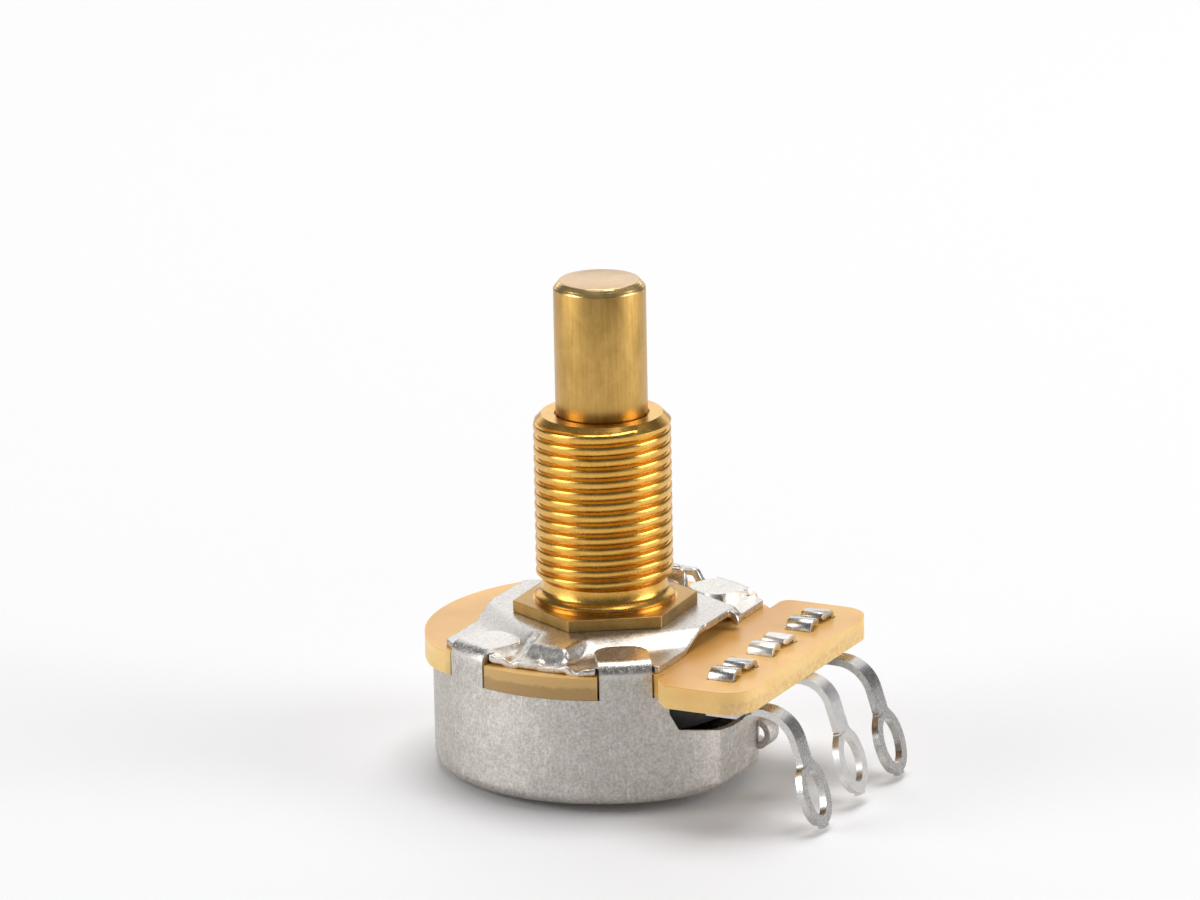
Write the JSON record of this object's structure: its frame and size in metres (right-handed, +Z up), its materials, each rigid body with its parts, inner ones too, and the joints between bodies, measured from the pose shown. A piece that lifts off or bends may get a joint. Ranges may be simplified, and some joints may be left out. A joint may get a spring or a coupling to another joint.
{
  "type": "rotary potentiometer",
  "caption": "Panel-mount rotary potentiometer: round sheet-metal can, threaded brass bushing, plain round shaft and bent solder lugs on an amber wafer.",
  "frame": {"origin": "on the shaft axis at the outside of the can's back face", "axes": "+Z up along the shaft towards its free end, -Y towards the solder lugs, +X towards the locating lug"},
  "size_m": [0.024, 0.0316, 0.0352],
  "materials": {
    "plated_sheet": "matt tin plate, finely mottled",
    "bright_plated_sheet": "satin tin plate with rubbed edges",
    "yellow_brass": "turned and threaded brass",
    "pale_brass": "drawn brass with lengthwise streaks",
    "bare_steel": "plain steel",
    "amber_laminate": "honey coloured paper laminate, satin",
    "carbon_ink": "matt carbon ink",
    "silver_ink": "matt silver ink",
    "lug_tin": "bright tin plate",
    "lug_silver": "matt silver plate",
    "black_moulding": "black moulded resin",
    "spring_bronze": "rolled bronze spring sheet"
  },
  "bodies": {
    "housing": {"can": "plated_sheet", "mounting_plate": "bright_plated_sheet", "bushing": "yellow_brass", "thrust_washer": "bare_steel", "wafer": "amber_laminate", "resistive_track": "carbon_ink", "end_pad_left": "silver_ink", "end_pad_right": "silver_ink", "collector_ring": "silver_ink", "terminal_left": "lug_tin", "terminal_centre": "lug_silver", "terminal_right": "lug_tin"},
    "spindle": {"shaft": "pale_brass", "retaining_ring": "bare_steel", "rotor": "black_moulding", "contact_spring": "spring_bronze"}
  },
  "joints": [
    {"name": "shaft_turn", "type": "hinge", "parent": "housing", "child": "spindle", "pos_m": [0, 0, 0.02], "axis": [0, 0, 1], "range_deg": [-150, 150]}
  ]
}
